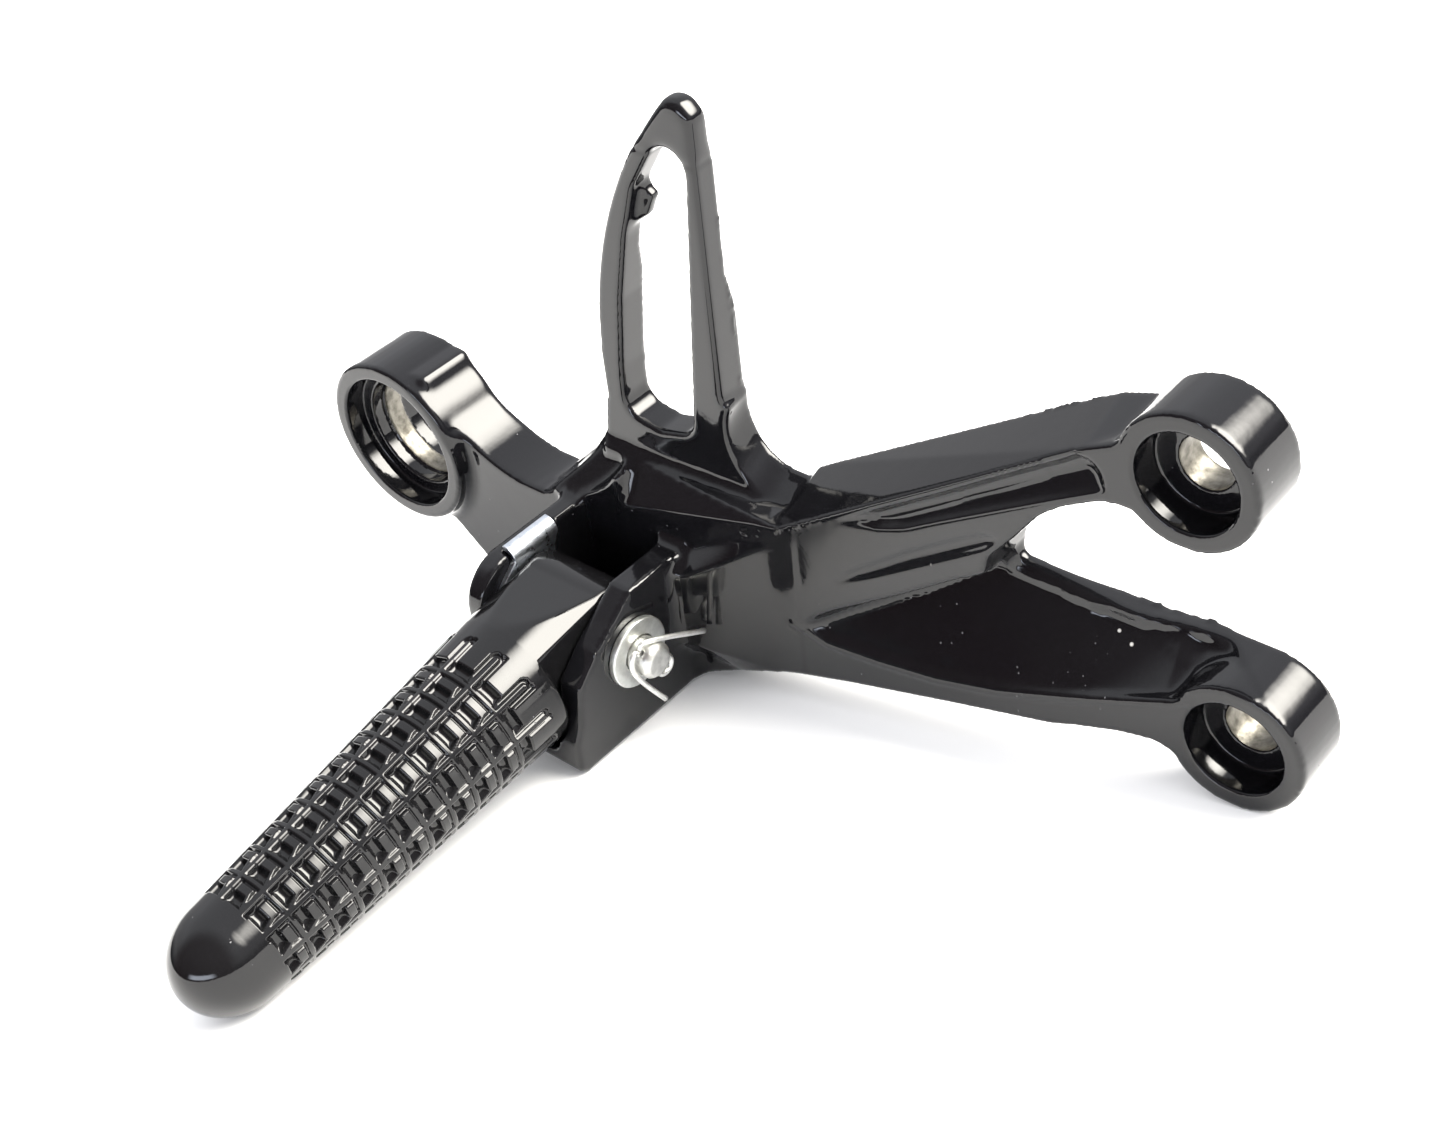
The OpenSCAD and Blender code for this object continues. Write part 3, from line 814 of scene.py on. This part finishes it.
def bare_bores(obj):
    """The through holes were left unpainted, as was the left ring's inner lip."""
    mesh = obj.data
    centre = np.zeros(len(mesh.polygons) * 3, np.float32)
    mesh.polygons.foreach_get("center", centre)
    x, y, z = (centre.reshape(-1, 3) / MM + ORIGIN).T
    index = np.zeros(len(x), np.int32)
    for boss, reach, start in ((UPPER_BOSS, BOLT_R + 0.35, SEAT_Y), (LOWER_BOSS, BOLT_R + 0.35, SEAT_Y),
                               (LEFT_BOSS, RING_LIP_R + 0.4, LIP_Y)):
        index[(np.hypot(x - boss[0], z - boss[1]) < reach) & (y > start + 0.2)] = 1
    mesh.polygons.foreach_set("material_index", index)


bare = metal_material("bare_casting", (0.20, 0.19, 0.165), (0.07, 0.065, 0.055), 0.42, 900, 0.8)
dress(bracket, paint_material("black_enamel", (0.004, 0.004, 0.0048), 0.10), bare)
bare_bores(bracket)
dress(peg, paint_material("peg_enamel", (0.0045, 0.0045, 0.005), 0.07))
for piece, name, colour, dark, rough, grain in (
        (washer, "zinc_plate", (0.66, 0.67, 0.65), (0.52, 0.53, 0.51), 0.42, 1500),
        (pin, "pin_zinc", (0.66, 0.66, 0.63), (0.46, 0.46, 0.44), 0.38, 1800),
        (cotter, "wire_zinc", (0.84, 0.84, 0.82), (0.66, 0.66, 0.64), 0.42, 2000),
        (plate, "sheet_steel", (0.60, 0.63, 0.67), (0.48, 0.52, 0.58), 0.30, 700),
        (nodes["detent_ball"], "ball_chrome", (0.8, 0.8, 0.8), (0.7, 0.7, 0.7), 0.08, 2500),
        (nodes["detent_spring"], "spring_wire", (0.5, 0.5, 0.51), (0.3, 0.3, 0.3), 0.3, 2500)):
    dress(piece, metal_material(name, colour, dark, rough, grain))

# ---------------------------------------------------------------- stage, light and camera

# The part rests on its side, so the floor's up is not the part's
UP = Vector((-0.256, 0.016, 0.9665)).normalized()
FLOOR_HALF = 6.0
LAMP = (0.45, 0.41, 0.79)
LAMP_BRIGHT = 30.0
LAMP_COLOUR = (1.0, 0.965, 0.89)


def add_floor():
    height = min(float((coordinates(o.data) @ np.array(UP)).min()) for o in (bracket, peg))
    mesh = bpy.data.meshes.new("floor")
    corners = [(-1, -1), (1, -1), (1, 1), (-1, 1)]
    mesh.from_pydata([(FLOOR_HALF * i, FLOOR_HALF * j, 0) for i, j in corners], [], [(0, 1, 2, 3)])
    floor = add_object("floor", mesh)
    floor.matrix_world = Matrix.Translation(UP * height) @ UP.to_track_quat("Z", "Y").to_matrix().to_4x4()
    m = Shade("floor_paper", (0.82, 0.82, 0.83), 0.0, 0.9)
    m.link(m.mix(m.noise(9, 3.0), (0.81, 0.815, 0.83), (0.83, 0.83, 0.835)), "Base Color")
    dress(floor, m.mat)
    return floor


def studio():
    """A white tent lit from behind on the right, with a darker strip along the horizon."""
    world = bpy.data.worlds.new("studio")
    bpy.context.scene.world = world
    world.use_nodes = True
    n = Nodes(world.node_tree)
    ray = n.add("ShaderNodeTexCoord").outputs["Generated"]

    def towards(direction):
        """Cosine of the ray's angle from the direction."""
        return n.add("ShaderNodeVectorMath", {0: ray, 1: tuple(Vector(direction).normalized())},
                     operation="DOT_PRODUCT").outputs["Value"]

    def spread(value, low, high):
        return n.ramp(value, low, high, interpolation_type="SMOOTHSTEP")

    def cone(direction, outer, inner):
        return spread(towards(direction), math.cos(math.radians(outer)), math.cos(math.radians(inner)))

    rise = towards(UP)
    sky = n.mix(spread(rise, 0.02, 0.30), (0.07, 0.07, 0.075), (0.80, 0.80, 0.83))
    sky = n.mix(spread(rise, 0.30, 0.62), sky, (1.18, 1.20, 1.26))
    front = n.math("MULTIPLY", spread(towards((0.05, -0.95, 0.3)), 0.35, 0.7), 0.88)
    sky = n.mix(front, sky, (0.10, 0.045, 0.045))
    wall = n.math("MULTIPLY", spread(towards((-0.93, 0.36, 0.1)), 0.75, 0.92), spread(rise, 0.45, 0.1))
    sky = n.mix(wall, sky, (0.85, 0.85, 0.87))
    low_strip = n.math("MULTIPLY", spread(rise, 0.04, 0.07), spread(rise, 0.20, 0.16))
    window = n.math("MULTIPLY", low_strip, cone((0.18, -0.98, 0.0), 30, 17))
    sky = n.mix(window, sky, (8.0, 8.6, 9.8))
    lamp = n.math("MULTIPLY", cone(LAMP, 29, 12), spread(rise, 0.08, 0.15))
    glow = n.add("ShaderNodeVectorMath", {0: LAMP_COLOUR, "Scale": n.math("MULTIPLY", lamp, LAMP_BRIGHT)},
                 operation="SCALE")
    total = n.add("ShaderNodeVectorMath", {0: sky, 1: glow.outputs["Vector"]}, operation="ADD")
    # Diffuse rays see an even tent, and the camera sees plain white
    path = n.add("ShaderNodeLightPath").outputs
    total = n.mix(path["Is Diffuse Ray"], total.outputs["Vector"], (1.86, 1.86, 1.88))
    background = n.tree.nodes["Background"]
    n.put(n.mix(path["Is Camera Ray"], total, (1.0, 1.0, 1.0)), background.inputs["Color"])


def add_fill():
    """A soft lamp on the bright side, for the shadows on the floor."""
    light = bpy.data.lights.new("fill", "AREA")
    light.shape = "DISK"
    light.size = 0.9
    light.energy = 0.8
    light.color = (1.0, 0.97, 0.93)
    fill = add_object("fill", light)
    fill.location = Vector(LAMP).normalized() * 1.6 + Vector((-0.1, 0, 0))
    fill.rotation_euler = (-Vector(LAMP)).to_track_quat("-Z", "Y").to_euler()
    fill.visible_glossy = False


def add_camera():
    data = bpy.data.cameras.new("camera")
    data.sensor_width = 36
    data.lens = 52.12
    data.clip_start = 0.01
    data.clip_end = 50
    camera = add_object("camera", data)
    right = Vector((0.76667, 0.63551, -0.09135))
    down = Vector((0.34937, -0.53232, -0.77109))
    ahead = Vector((-0.53866, 0.55925, -0.63014))
    turn = Matrix((right, -down, -ahead)).transposed().to_4x4()
    camera.matrix_world = Matrix.Translation((0.128286, -0.255631, 0.207953)) @ turn
    bpy.context.scene.camera = camera


floor = add_floor()
studio()
add_fill()
add_camera()
bpy.context.scene.view_settings.view_transform = "Standard"
